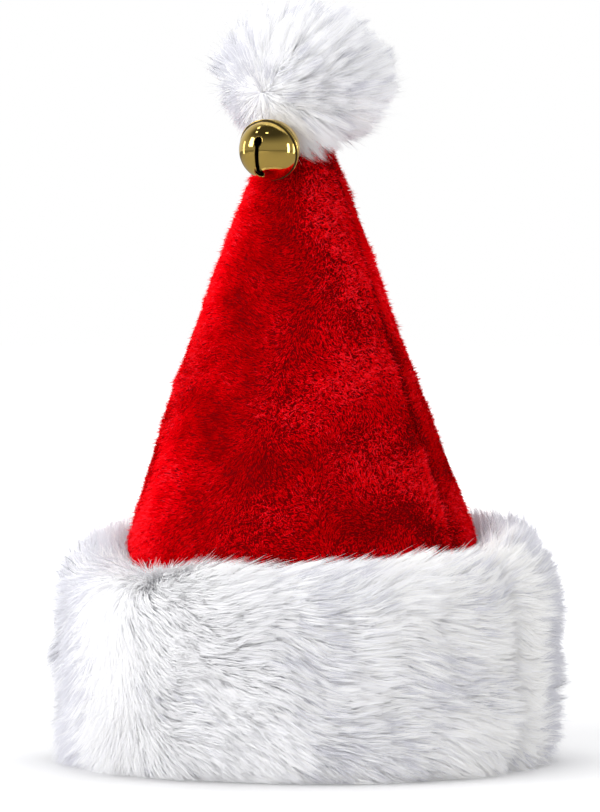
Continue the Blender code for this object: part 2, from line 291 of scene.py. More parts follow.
def scatter(surface, count, rng, wanted=None):
    # count places spread evenly over the surface, where wanted(places, normals) says how thickly
    corners, normals, area = surface
    weight = area.copy()
    if wanted is not None:
        weight *= wanted(corners.mean(axis=1), unit(normals.mean(axis=1)))
    ends = np.cumsum(weight)
    picks = np.searchsorted(ends, (np.arange(count) + rng.uniform(size=count)) / count * ends[-1])
    picks = np.minimum(picks, len(area) - 1)
    u, v = rng.uniform(size=(2, count))
    over = u + v > 1.0
    u[over], v[over] = 1.0 - u[over], 1.0 - v[over]
    share = np.stack([1.0 - u - v, u, v], axis=1)[:, :, None]
    places = (corners[picks] * share).sum(axis=1)
    return places, unit((normals[picks] * share).sum(axis=1))


def layStrands(roots, normals, flow, spec, rng, size=1.0):
    # each strand leaves along the normal and turns towards the flow; gives (count, segments + 1, 3)
    count = len(roots)
    length = spec["length"] * rng.uniform(1.0 - spec["vary"], 1.0 + spec["vary"], count) * size
    toss = rng.normal(0.0, spec["toss"], (count, 3))
    curl = rng.normal(0.0, spec["curl"], (count, 3))
    steps = spec["segments"]
    points = [roots]
    for i in range(steps):
        t = (i + 0.5) / steps
        turn = spec["leanRoot"] + (spec["leanTip"] - spec["leanRoot"]) * t
        way = normals * (1.0 - spec["flatten"] * t) + flow * turn + toss + curl * t
        way[:, 2] -= spec["droop"] * t * t
        points.append(points[-1] + unit(way) * (length / steps)[:, None])
    return np.stack(points, axis=1)


def nearest(places, leaders):
    tree = kdtree.KDTree(len(leaders))
    for i, place in enumerate(leaders):
        tree.insert(place, i)
    tree.balance()
    return np.array([tree.find(place)[1] for place in places])


def gather(points, lead, leadPoints, pull, curve=1.25):
    # tips of neighbouring strands close up on their leader, which makes a lock
    t = np.linspace(0.0, 1.0, points.shape[1]) ** curve
    share = np.asarray(pull).reshape(-1, 1, 1) * t[None, :, None]
    return points + (leadPoints[lead] - points) * share


def makeRibbons(name, points, normals, width, tones, materials, rng, twist=0.5, soft=0.65):
    # one tapered ribbon a strand, its face turned outward, or to the front where it grows on the front;
    # tones is (count, segments), and soft shades a strand more like the surface it grows on
    count, rows, _ = points.shape
    segments = rows - 1
    along = unit(np.gradient(points, axis=1))
    front = np.array([0.0, -1.0, 0.0])
    ahead = np.clip(2.5 * (normals @ front), 0.0, 1.0)[:, None]
    turned = rng.normal(0.0, twist, normals.shape) * (1.0 - 0.8 * ahead)
    facing = unit(normals * (1.0 - ahead) + front * ahead + turned)
    side = unit(np.cross(along, facing[:, None, :]))
    taper = (1.0 - np.linspace(0.0, 1.0, rows)[:-1] ** 1.6)[None, :, None]
    half = np.asarray(width).reshape(-1, 1, 1) * 0.5 * taper
    left = points[:, :-1] - side[:, :-1] * half
    right = points[:, :-1] + side[:, :-1] * half
    perStrand = 2 * segments + 1
    verts = np.empty((count, perStrand, 3), dtype=np.float32)
    verts[:, 0:2 * segments:2] = left
    verts[:, 1:2 * segments:2] = right
    verts[:, -1] = points[:, -1]
    own = np.cross(side, along)
    shading = unit(own * (1.0 - soft) + (facing * 0.35 + normals * 0.65)[:, None, :] * soft)
    vertNormals = np.repeat(shading, 2, axis=1)[:, :-1]
    pattern = [2 * i + corner for i in range(segments - 1) for corner in (0, 1, 3, 2)]
    pattern += [2 * segments - 2, 2 * segments - 1, 2 * segments]
    sizes = [4] * (segments - 1) + [3]
    loops = (np.array(pattern)[None, :] + perStrand * np.arange(count)[:, None]).ravel().astype(np.int32)
    totals = np.tile(np.array(sizes, dtype=np.int32), count)
    starts = np.concatenate([[0], np.cumsum(totals)[:-1]]).astype(np.int32)
    mesh = bpy.data.meshes.new(name)
    mesh.vertices.add(count * perStrand)
    mesh.vertices.foreach_set("co", (verts * mm).ravel())
    mesh.loops.add(len(loops))
    mesh.loops.foreach_set("vertex_index", loops)
    mesh.polygons.add(len(totals))
    mesh.polygons.foreach_set("loop_start", starts)
    for material in materials:
        mesh.materials.append(material)
    mesh.polygons.foreach_set("material_index", tones.astype(np.int32).ravel())
    mesh.update(calc_edges=True)
    mesh.normals_split_custom_set_from_vertices(vertNormals.reshape(-1, 3))
    return addObject(name, mesh)


view = {
    "aim": (-5.5, 0.0, 177.6),
    "distance": 2500.0,
    "elevation": 2.0,
    "lens": 221.7,
}


def makeCamera():
    up = math.radians(view["elevation"])
    away = Vector((0.0, -math.cos(up), math.sin(up))) * view["distance"]
    camera = bpy.data.cameras.new("studioCamera")
    camera.lens = view["lens"]
    camera.sensor_width = 36.0
    holder = addObject("studioCamera", camera)
    holder.location = (Vector(view["aim"]) + away) * mm
    holder.rotation_euler = (math.pi / 2.0 - up, 0.0, 0.0)
    bpy.context.scene.camera = holder


lights = [
    # name, place, width and height, power, seen in the bell; the first four light the fur
    ("keySoftbox", (-1.65, -1.40, 1.25), (1.6, 1.6), 16.0, False),
    ("topSoftbox", (0.1, 0.3, 2.2), (1.6, 1.6), 34.0, False),
    ("frontFill", (-0.9, -2.3, 0.45), (1.4, 1.0), 16.5, False),
    ("backFill", (0.5, 2.3, 1.0), (1.6, 1.2), 8.0, False),
    ("leftCard", (-2.05, -0.50, 1.15), (0.75, 1.1), 14.0, True),
    ("leftStrip", (-1.95, 0.85, 0.45), (0.35, 1.0), 2.5, True),
    ("rightStrip", (2.0, -0.5, 0.42), (0.32, 1.0), 8.0, True),
    ("rightBackStrip", (1.95, 0.5, 0.35), (0.32, 0.9), 3.0, True),
    # small ceiling lamps, seen as spots in the bell
    ("lampLeft", (-1.35, -0.08, 2.15), (0.22, 0.22), 0.7, True),
    ("lampMiddle", (-0.33, -0.95, 2.30), (0.30, 0.18), 0.7, True),
    ("lampBack", (-1.0, 0.5, 2.30), (0.35, 0.25), 0.8, True),
]
lightsAim = (0.0, 0.0, 0.16)


def makeLights():
    for name, place, size, power, reflected in lights:
        lamp = bpy.data.lights.new(name, "AREA")
        lamp.shape = "RECTANGLE"
        lamp.size, lamp.size_y = size
        lamp.energy = power
        holder = addObject(name, lamp)
        holder.location = place
        holder.visible_glossy = reflected
        holder.rotation_euler = (Vector(lightsAim) - Vector(place)).to_track_quat("-Z", "Y").to_euler()


room = {
    "white": 1.0,
    # soft light from all round, brighter from the left
    "soft": 0.42, "dim": 0.28, "softFrom": (-0.80, -0.40, 0.35),
    # what polished metal sees: a dark studio above, a lit sweep behind
    "level": 0.33, "above": 0.05, "behind": 0.65,
}


def makeRoom():
    world = bpy.data.worlds.new("studio")
    world.use_nodes = True
    bpy.context.scene.world = world
    nodes, links = treeOf(world)
    where = nodes.new("ShaderNodeTexCoord")
    parts = nodes.new("ShaderNodeSeparateXYZ")
    links.new(where.outputs["Generated"], parts.inputs[0])
    side = nodes.new("ShaderNodeVectorMath")
    side.operation = "DOT_PRODUCT"
    side.inputs[1].default_value = Vector(room["softFrom"]).normalized()
    links.new(where.outputs["Generated"], side.inputs[0])
    soft = addFade(world, side.outputs["Value"], -1.0, 1.0, room["dim"], room["soft"])
    ceiling = addFade(world, parts.outputs["Z"], 0.25, 0.85, room["level"], room["above"])
    behind = addFade(world, parts.outputs["Y"], 0.1, 0.8, 0.0, 1.0)
    mirror = addPick(world, behind, ceiling, room["behind"])
    path = nodes.new("ShaderNodeLightPath")
    light = addPick(world, path.outputs["Is Glossy Ray"], soft, mirror)
    seen = addPick(world, path.outputs["Is Camera Ray"], light, room["white"])
    links.new(seen, nodes["Background"].inputs["Strength"])
    nodes["Background"].inputs["Color"].default_value = (1.0, 1.0, 1.0, 1.0)


# the floor shines more from near the hat to far from it, so it runs into the white ground
floorLook = {
    "size": 9.0, "color": (0.66, 0.66, 0.67), "mirrored": (0.24, 0.23, 0.215),
    "glow": 0.21, "bounce": 0.10, "near": 0.22, "far": 1.8,
}


def makeFloor():
    bm = bmesh.new()
    bmesh.ops.create_grid(bm, x_segments=1, y_segments=1, size=floorLook["size"])
    material, shader = newMaterial("paleFloor")
    nodes, links = treeOf(material)
    shader.inputs["Roughness"].default_value = 0.9
    shader.inputs["Specular IOR Level"].default_value = 0.0
    where = nodes.new("ShaderNodeTexCoord")
    reach = nodes.new("ShaderNodeVectorMath")
    reach.operation = "LENGTH"
    links.new(where.outputs["Object"], reach.inputs[0])
    glow = addFade(material, reach.outputs["Value"],
                   floorLook["near"], floorLook["far"], floorLook["glow"], 1.0)
    path = nodes.new("ShaderNodeLightPath")
    tone = nodes.new("ShaderNodeMix")
    tone.data_type = "RGBA"
    tone.inputs["A"].default_value = (*floorLook["color"], 1.0)
    tone.inputs["B"].default_value = (*floorLook["mirrored"], 1.0)
    links.new(path.outputs["Is Glossy Ray"], tone.inputs["Factor"])
    links.new(tone.outputs["Result"], shader.inputs["Base Color"])
    seen = addPick(material, path.outputs["Is Camera Ray"], floorLook["bounce"], glow)
    shader.inputs["Emission Color"].default_value = (1.0, 1.0, 1.0, 1.0)
    links.new(seen, shader.inputs["Emission Strength"])
    floor = keepPiece("floor", bm, [material], smooth=False)
    floor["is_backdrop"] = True


makeCamera()
makeLights()
makeRoom()
makeFloor()
bpy.context.scene.view_settings.view_transform = "Standard"
bpy.context.scene.cycles.diffuse_bounces = 9
bpy.context.scene.cycles.max_bounces = 12
print("camera, lights and floor set")


# the cone's oval, shared by the crown and the band
coneRows = np.array([
    # height, middle, half width, half depth
    (6, 0, 96, 86), (60, -1.5, 93.5, 84), (98, -3.5, 89, 80.5), (111, -4, 86.5, 78.5),
    (131, -4.8, 79.7, 72.5), (156, -6, 71.3, 65.5), (181, -7, 62.4, 57.8), (206, -7.5, 53.4, 50),
    (231, -7.4, 44.6, 42.2), (254, -7.4, 36.4, 34.8), (281, -7, 26.4, 25.5), (296, -6.8, 20.2, 19.6),
    (308, -6.5, 15.4, 15), (316, -6.2, 11.6, 11.4), (320, -6, 8, 8),
])
coneTop = 321.0
coneSeam = 60.0
bandSeam = 53.5


def coneOval(height):
    return columnsAt(coneRows, height)


def azimuthOf(points, top=None):
    # degrees round the oval, from the front towards the right
    middle, wide, deep = coneOval(points[:, 2] if top is None else np.minimum(points[:, 2], top))
    return np.degrees(np.arctan2((points[:, 0] - middle) / wide, -points[:, 1] / deep))


def apart(azimuth, other):
    return (azimuth - other + 180.0) % 360.0 - 180.0


def aroundOf(places):
    # the way round the hat, to the right at the front
    return unit(np.stack([-places[:, 1], places[:, 0], np.zeros(len(places))], axis=1))


def lively(flow, least):
    # the flow keeps its way and never falls below the least strength
    strength = np.linalg.norm(flow, axis=1, keepdims=True)
    return unit(flow) * (least + (1.0 - least) * strength)


def laidDown(flow, whorl):
    # round a whorl the fur lies flat and leaves it on every side
    near = whorl[:, None]
    return lively(flow, 0.8) * near + flow * (1.0 - near) + unit(flow) * (1.5 * near)


def hairOf(*values):
    # vary, toss and curl are random shares; the leans turn a strand towards the flow
    names = ("length", "vary", "toss", "curl", "segments", "leanRoot", "leanTip", "flatten", "droop")
    return dict(zip(names, values))


def keepOffCone(points, margin):
    # strands that would run into the cone are slid out to its surface
    flat = points.reshape(-1, 3)
    middle, wide, deep = coneOval(flat[:, 2])
    x, y = (flat[:, 0] - middle) / (wide + margin), flat[:, 1] / (deep + margin)
    out = np.hypot(x, y)
    inside = (out < 1.0) & (flat[:, 2] < coneTop) & (out > 0.05)
    scale = np.where(inside, 1.0 / np.maximum(out, 0.05), 1.0)
    flat[:, 0] = middle + (flat[:, 0] - middle) * scale
    flat[:, 1] = flat[:, 1] * scale
    return flat.reshape(points.shape)


# crown: knitted backing with a red plush pile
crown = {
    "pile": 120000,
    "blade": hairOf(2.5, 0.22, 0.18, 0.0, 1, 0.85, 0.85, 0.0, 0.0),
    "width": 0.58,
    # the bright ends of the longer tips are painted highlights
    "tips": 24000,          # longer strands with bright ends, where the pile stands up
    "tip": hairOf(4.0, 0.22, 0.38, 0.20, 2, 0.5, 0.9, 0.2, 0.0),
    "tipWidth": 0.44,
    "tufts": 17204,         # the strands close up in these, about 2 mm apart
    "pileFrom": 90.0,
    "groovePile": 0.35,
    # where the pile stands up or is stroked flat, and where its tone is painted lighter or darker for light
    # and shade, such as the painted shadow under the bell: azimuth, height, half width, half height, amount
    "strokesAndPaintedLight": [
        (14, 292, 26, 8, 1.2), (16, 284, 24, 9, 1.2), (24, 268, 22, 10, 0.9), (33, 260, 13, 16, 0.8),
        (38, 236, 11, 20, 1.1), (17, 242, 7, 5, 0.7), (-6, 247, 7, 6, 0.4), (-7, 218, 7, 5, 0.6),
        (-13, 197, 7, 8, 0.9), (36, 199, 13, 12, 1.0),
        (24, 187, 12, 7, 1.0), (-32, 187, 5, 4, 1.0), (-2, 174, 18, 12, 0.7), (32, 160, 10, 18, 0.3),
        (16, 149, 14, 8, 0.3), (38, 134, 12, 14, 0.5), (54, 146, 7, 14, 0.5),
        (1, 282, 9, 16, -1.0), (-14, 262, 15, 16, -0.6), (6, 222, 10, 12, -1.0), (34, 219, 6, 9, -0.8),
        (-22, 190, 5, 6, -0.8), (-34, 216, 14, 24, -0.6), (40, 180, 10, 10, -0.7), (-36, 160, 14, 26, -0.4),
        (4, 152, 12, 8, -0.4), (20, 122, 24, 8, -0.4),
    ],
    # painted light: how much brighter the pile's tone is painted where the lights and the velvet's sheen
    # catch it: azimuth, amount
    "glossAndPaintedLight": [(-180, 0.4), (-110, 1.2), (-90, 2.4), (-74, 2.3), (-64, 1.4), (-54, 0.3), (-40, -0.4),
              (-10, -0.1), (8, 0.4), (22, 0.9), (36, 1.1), (48, 1.1), (56, 0.7), (66, 1.0), (90, 1.2),
              (180, 0.4)],
}
# reds from darkest to brightest; besides their random spread, the dark ones paint shade and the tip and glint
# reds paint highlights on the pile
redTones = [
    slotTone("plushDeep", (0.30, 0.0, 0.001), 0.9, 0.0, 0.10, (1.0, 0.0, 0.01)),
    slotTone("plushDark", (0.48, 0.0, 0.001), 0.9, 0.0, 0.15, (1.0, 0.0, 0.01)),
    slotTone("plushRed", (0.66, 0.0, 0.002), 0.8, 0.0, 0.20, (1.0, 0.0, 0.02)),
    slotTone("plushBright", (0.82, 0.0, 0.004), 0.7, 0.0, 0.25, (1.0, 0.01, 0.04)),
    slotTone("plushTip", (0.95, 0.002, 0.006), 0.6, 0.02, 0.30, (1.0, 0.02, 0.06)),
    slotTone("plushGlint", (1.0, 0.012, 0.026), 0.5, 0.06, 0.40, (1.0, 0.05, 0.10)),
]


def knitMaterial(name, light, dark):
    material, shader = newMaterial(name)
    shader.inputs["Roughness"].default_value = 0.95
    shader.inputs["Specular IOR Level"].default_value = 0.05
    grainTint(material, 90.0, 2.0, dark, light)
    rows = useGroup(material, knitRows, {"Scale": 220.0, "Distortion": 2.0})
    addBump(material, rows.outputs["Value"], 0.4, 0.0006)
    return material


def makeCrownCloth():
    bm = bmesh.new()
    bm.from_mesh(cadNodes["crown"].data)
    bmesh.ops.remove_doubles(bm, verts=bm.verts, dist=1e-5)
    bmesh.ops.join_triangles(bm, faces=bm.faces, angle_face_threshold=0.9, angle_shape_threshold=0.9,
                             cmp_seam=False, cmp_sharp=False, cmp_uvs=False, cmp_vcols=False,
                             cmp_materials=False)
    backing = knitMaterial("redKnit", (0.24, 0.0, 0.002), (0.14, 0.0, 0.001))
    return rounded(keepPiece("crownCloth", bm, [backing]))


def makeCrownPile(cloth):
    rng = np.random.default_rng(3)
    surface = surfaceOf(cloth)

    def outside(places, normals):
        middle, wide, deep = coneOval(places[:, 2])
        out = np.hypot((places[:, 0] - middle) / (wide - 1.5), places[:, 1] / (deep - 1.5))
        faces = normals[:, 0] * (places[:, 0] - middle) + normals[:, 1] * places[:, 1]
        seen = (out > 0.93) & (faces > 0.0) | (places[:, 2] > 318.0)
        return seen * eased((places[:, 2] - crown["pileFrom"]) / 4.0)

    def strokedAndPaintedLight(places):
        # above 0 where the pile stands in tufts, below where it is stroked flat; the same amount paints the
        # pile's tone lighter or darker for light and shade
        azimuth = azimuthOf(places)
        amount = 0.22 * waves(places, 22.0, 21) + 0.16 * waves(places, 8.0, 22)
        for at, high, wide, tall, much in crown["strokesAndPaintedLight"]:
            near = (apart(azimuth, at) / wide) ** 2 + ((places[:, 2] - high) / tall) ** 2
            amount = amount + 0.6 * much * np.exp(-near)
        return amount

    def standing(places):
        return eased(0.32 + strokedAndPaintedLight(places))

    def nap(places):
        # stroked pile lies down and to the left; standing pile leans a little
        around = aroundOf(places)
        turn = 0.5 + 1.1 * waves(places, 30.0, 23)
        strength = 1.15 - 0.75 * standing(places)
        way = -around * np.sin(turn)[:, None] - np.array([0.0, 0.0, 1.0]) * np.cos(turn)[:, None]
        return way * strength[:, None]

    def height(places):
        seam = np.abs(apart(azimuthOf(places), coneSeam)) * np.radians(coneOval(places[:, 2])[2])
        shallow = crown["groovePile"] + (1.0 - crown["groovePile"]) * eased(seam / 3.2)
        return shallow * (1.0 + 0.15 * waves(places, 7.0, 24))

    # painted highlight: tone added to the pile by azimuth, for light and sheen
    def glossAndPaintedLight(places):
        return columnsAt(crown["glossAndPaintedLight"], azimuthOf(places))[0]

    def grow(name, count, spec, width, wanted, tuftTone, ownTone, twist):
        # strands closed up in tufts; a tuft mostly shares its tone
        roots, normals = scatter(surface, count, rng, wanted)
        tuftRoots, tuftNormals = scatter(surface, crown["tufts"], rng, outside)
        up = standing(tuftRoots)
        lean = nap(tuftRoots) + rng.normal(0.0, 0.42, tuftRoots.shape) * (0.15 + 0.85 * up)[:, None]
        tall = height(tuftRoots) * rng.uniform(0.8, 1.2, crown["tufts"])
        tufts = layStrands(tuftRoots, tuftNormals, lean, spec, rng, tall)
        strands = layStrands(roots, normals, nap(roots), spec, rng, height(roots))
        up = standing(roots)
        pull = rng.uniform(0.5, 1.0, count) * (0.20 + 0.55 * up)
        lead = nearest(roots, tuftRoots)
        strands = gather(strands, lead, tufts, pull, curve=1.0)
        lit = rng.normal(0.0, 1.0, crown["tufts"])[lead] * (0.25 + 0.6 * up) + rng.normal(0.0, 0.4, count)
        # the tone is painted light and shade: brighter by azimuth, lighter or darker with the strokes, and
        # varied at random by tuft
        tone = tuftTone + glossAndPaintedLight(roots) + 2.6 * np.clip(strokedAndPaintedLight(roots), -0.5, 0.6) + lit
        # only the longer tips reach the brightest tone; their root is painted darker for the shade in the
        # pile and their tip brighter for a painted highlight
        tones = np.round(np.stack([tone + step for step in ownTone], axis=1))
        tones = np.clip(tones, 0, 4 if len(ownTone) == 1 else 5)
        wide = width * rng.uniform(0.7, 1.3, count)
        return makeRibbons(name, strands, normals, wide, tones, redTones, rng, twist, soft=0.45)

    def tufty(places, normals):
        return outside(places, normals) * (0.06 + standing(places))

    return [grow("crownPile", crown["pile"], crown["blade"], crown["width"], outside, 1.9, [0.0], 0.6),
            grow("crownTips", crown["tips"], crown["tip"], crown["tipWidth"], tufty, 2.2, [-1.2, 1.3], 0.5)]


crownCloth = makeCrownCloth()
crownPile = makeCrownPile(crownCloth)
for piece in [crownCloth] + crownPile:
    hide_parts("crown")
    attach(piece, "root")
print("crown made")


# whites of the band and the pompom, from root to tip
whiteTones = [
    slotTone("furRoot", (0.93, 0.93, 0.95), 0.8, 0.0),
    slotTone("furCool", (0.925, 0.925, 0.95), 0.6, 0.15),
    slotTone("furCoolTip", (0.955, 0.955, 0.98), 0.55, 0.2),
    slotTone("furWarm", (0.925, 0.92, 0.905), 0.6, 0.15),
    slotTone("furWarmTip", (0.955, 0.95, 0.935), 0.55, 0.2),
    slotTone("furBright", (0.985, 0.985, 0.985), 0.5, 0.25),
    slotTone("furClearAndPaintedLight", (0.98, 0.98, 0.99), 0.6, 0.15),
    slotTone("furShade", (0.74, 0.74, 0.79), 0.6, 0.1),
]

# band: a padded ring under long white fur
band = {
    # outward from the cone's cloth, height
    "section": [(0.5, 6.4), (0.5, 50.0), (0.5, 90.0), (3.0, 96.0), (10.0, 99.4), (18.5, 99.2), (24.6, 95.6),
                (27.0, 87.0), (26.8, 75.0), (26.2, 62.0), (25.2, 46.0), (24.6, 30.0), (24.2, 14.0),
                (22.0, 3.8), (14.0, 0.8), (4.0, 0.5), (-2.4, 0.5), (-2.4, 5.5)],
    "steps": 120,
    "tuck": 97.0,
    "groove": 7.0,
    # how much taller the rim stands: azimuth, rise
    "rise": [(-180, 4), (-125, 5), (-105, 3), (-88, -1), (-70, -4), (-42, -5), (-15, -4), (15, -2),
             (40, -1), (62, 1), (80, 6), (105, 9), (140, 8), (180, 4)],
    # the nap by azimuth: round the band (left is less than 0) and up in its middle, the same at its top edge
    "nap": [(-180, 0.0, -0.55, 0.0, 0.35), (-150, -0.45, -0.30, -0.45, 0.38),
            (-112, -0.30, -0.22, -0.30, 0.35), (-90, -0.22, -0.28, -0.25, 0.26),
            (-76, -0.36, -0.34, -0.34, 0.18), (-66, -0.42, -0.42, -0.32, -0.15),
            (-60, -0.22, -0.54, -0.14, -0.50), (-54, 0.10, -0.60, 0.15, -0.62),
            (-47, 0.50, -0.58, 0.60, -0.45), (-40, 0.76, -0.48, 0.86, -0.05),
            (-32, 0.90, -0.38, 0.95, 0.22), (-15, 1.05, -0.24, 1.05, 0.40), (20, 1.10, -0.14, 1.10, 0.50),
            (50, 1.05, -0.12, 1.00, 0.52), (66, 0.70, 0.02, 0.65, 0.56), (80, 0.30, 0.10, 0.34, 0.50),
            (95, 0.16, 0.10, 0.24, 0.46), (115, 0.35, 0.05, 0.50, 0.56), (150, 0.45, -0.20, 0.50, 0.50),
            (180, 0.0, -0.55, 0.0, 0.35)],
    # how much slimmer the band is: azimuth, at its foot, at its top
    "slim": [(-180, 3, 3), (-150, 2, 2), (-125, 2, 3), (-90, 7, 8.5), (-60, 1, 2), (-45, 0, 0), (40, 0, 0),
             (66, 5, 3.5), (95, 11.5, 6), (120, 5, 4), (150, 2, 2), (180, 3, 3)],
    "swell": 1.2, "swells": 3,
    "strands": 46000,       # in each of its three pieces
    "pieces": 3,
    "hair": hairOf(20.0, 0.28, 0.12, 0.08, 2, 0.70, 1.45, 0.66, 0.06),
    "down": 105000,         # short dense strands under the long ones
    "downHair": hairOf(9.0, 0.3, 0.30, 0.0, 1, 1.0, 1.0, 0.0, 0.0),
    "downWidth": 0.95,
    "width": 0.46,
    "lock": 7.6, "wisp": 3.4,       # from one lock or wisp to the next
    "lockPull": 0.38, "wispPull": 0.90, "stray": 0.10, "splay": 0.30,
    "whorl": (-55.0, 82.0), "whorlHalf": (13.0, 24.0),
}


def furPad(name):
    # short dense underfur, seen only between the locks
    material, shader = newMaterial(name)
    shader.inputs["Roughness"].default_value = 0.9
    tint = grainTint(material, 260.0, 6.0, (0.90, 0.90, 0.94), (0.96, 0.96, 0.98))
    addBump(material, tint.outputs["Value"], 0.6, 0.001)
    return material


def bandShape(vert, outward, height):
    azimuth = math.degrees(math.atan2(vert.x, -vert.y))
    middle, wide, deep = coneOval(min(height, band["tuck"]))
    if outward > 3.0:
        thick = float(eased(outward / 20.0))
        outward += band["swell"] * thick * math.sin(math.radians(band["swells"] * azimuth) + 0.05 * height)
        foot, top = (float(value) for value in columnsAt(band["slim"], azimuth))
        outward -= thick * (foot + (top - foot) * float(eased((height - 55.0) / 40.0)))
        seam = abs(apart(azimuth, bandSeam))
        outward -= band["groove"] * thick * max(0.0, 1.0 - seam / 4.5) ** 1.3
        height += float(columnsAt(band["rise"], azimuth)[0] * eased((height - 20.0) / 80.0))
    across, along = math.sin(math.radians(azimuth)), -math.cos(math.radians(azimuth))
    return middle + (wide + outward) * across, (deep + outward) * along, height


def makeBandPad():
    bm = bmesh.new()
    mark = bm.verts.layers.int.new("row")
    verts = []
    for i, (outward, height) in enumerate(band["section"]):
        vert = bm.verts.new((0.0, -(100.0 + outward), height))
        vert[mark] = i
        verts.append(vert)
    edges = [bm.edges.new((verts[i - 1], verts[i])) for i in range(len(verts))]
    bmesh.ops.spin(bm, geom=verts + edges, cent=(0, 0, 0), axis=(0, 0, 1), angle=2.0 * math.pi,
                   steps=band["steps"], use_merge=True, use_duplicate=False)
    bmesh.ops.recalc_face_normals(bm, faces=bm.faces)
    for vert in bm.verts:
        outward, height = band["section"][vert[mark]]
        vert.co = Vector(bandShape(vert.co, outward, height)) * mm
    bm.verts.layers.int.remove(mark)
    inOrder(bm)
    return rounded(keepPiece("bandPad", bm, [furPad("bandUnderfur")]))


def bandAzimuth(places):
    return azimuthOf(places, band["tuck"])


def pastSeam(places):
    # millimetres to the right of the band's seam, where a degree is about 1.9
    return apart(bandAzimuth(places), bandSeam) * 1.9


def bandWhorl(places):
    # 1 at the whorl that the fur runs out from, at the left end of the front
    aside = apart(bandAzimuth(places), band["whorl"][0]) / band["whorlHalf"][0]
    return np.exp(-aside ** 2 - ((places[:, 2] - band["whorl"][1]) / band["whorlHalf"][1]) ** 2)


def bandFlow(places, normals):
    around = aroundOf(places)
    z = places[:, 2]
    azimuth = bandAzimuth(places)
    middleAside, middleUp, topAside, topUp = columnsAt(band["nap"], azimuth)
    top = eased((z - 64.0) / 38.0)
    aside = middleAside + (topAside - middleAside) * top
    upDown = middleUp + (topUp - middleUp) * top - 0.50 * eased((30.0 - z) / 30.0)
    upDown = upDown + 0.24 * waves(places, 30.0, 31) + 0.14 * waves(places, 11.0, 32)
    # right of the seam the fur falls before it turns to the right
    seam = pastSeam(places)
    upDown = upDown - 0.9 * (1.0 - top) * np.exp(-((seam - 4.0) / 5.0) ** 2) * (seam > 0.0)
    flow = around * (aside * (1.0 + 0.22 * waves(places, 36.0, 33)))[:, None]
    flow[:, 2] += upDown
    # on the band's upper side, fur that runs down leans outward
    outward = unit(places * np.array([1.0, 1.0, 0.0]))
    flow = flow - outward * (np.minimum(upDown, 0.0) * np.clip(normals[:, 2], 0.0, 1.0))[:, None]
    flow = flow - normals * (flow * normals).sum(axis=1)[:, None]
    return laidDown(flow, bandWhorl(places))


def bandLength(places):
    # tips from the left stop at the seam; the bottom is trimmed and the whorl is short
    seam = pastSeam(places)
    left = np.clip((1.5 - seam) / 13.0, 0.28, 1.0)
    right = np.clip(0.55 + seam / 12.0, 0.0, 1.0)
    short = np.where(seam < 0.0, left, right)
    foot = 0.72 + 0.28 * eased(places[:, 2] / 22.0)
    return short * foot * (1.0 + 0.12 * waves(places, 14.0, 34)) * (1.0 - 0.15 * bandWhorl(places))


def bandClump(places):
    # the brightly lit left end is smooth, the rest falls in spiky wisps
    return 1.0 - 0.50 * np.exp(-(apart(bandAzimuth(places), -44.0) / 24.0) ** 2)


def bandLock(places):
    # locks close into spikes at the band's two ends
    return 1.0 + 1.5 * eased((np.abs(apart(bandAzimuth(places), 3.0)) - 62.0) / 14.0)


def bandShade(places):
    # the share of strands painted grey for shade: soft patches of painted shade to the right, and a rim of
    # painted shade at the band's two ends
    azimuth = bandAzimuth(places)
    soft = 0.30 * eased(0.5 + 1.2 * waves(places, 26.0, 36)) * eased((azimuth + 50.0) / 50.0)
    aside = np.abs(apart(azimuth, 3.0))
    return np.maximum(soft, 0.92 * eased((aside - 55.0) / 18.0) * (1.0 - 0.8 * eased((aside - 100.0) / 18.0)))


def bandFurry(places, normals):
    middle, wide, deep = coneOval(np.minimum(places[:, 2], band["tuck"]))
    x, y = places[:, 0] - middle, places[:, 1]
    out = np.hypot(x, y) * (1.0 - 1.0 / np.maximum(np.hypot(x / wide, y / deep), 0.01))
    return ((out > 2.0) & (places[:, 2] > 3.0)).astype(float)


def toneOf(count, segments, warm, clear, shade, draw, rng):
    # root grey, then cool or warm white, brightest at the tip; warm, clear and shade are shares, clear being
    # a brighter white painted where light falls and shade a grey painted for shade
    tones = np.zeros((count, segments))
    isWarm = rng.uniform(size=count) < warm
    bright = rng.uniform(size=count) < 0.30
    tones[:, 1:] = np.where(isWarm, 3, 1)[:, None]
    tones[:, -1] = np.where(bright, 5, np.where(isWarm, 4, 2))
    tones[:, 0] = np.where(rng.uniform(size=count) < 0.5, 0, tones[:, 1])
    isPaintedLit = rng.uniform(size=count) < clear
    tones[isPaintedLit] = 6
    isShade = draw < shade
    tones[isShade, 1:] = 7
    return tones


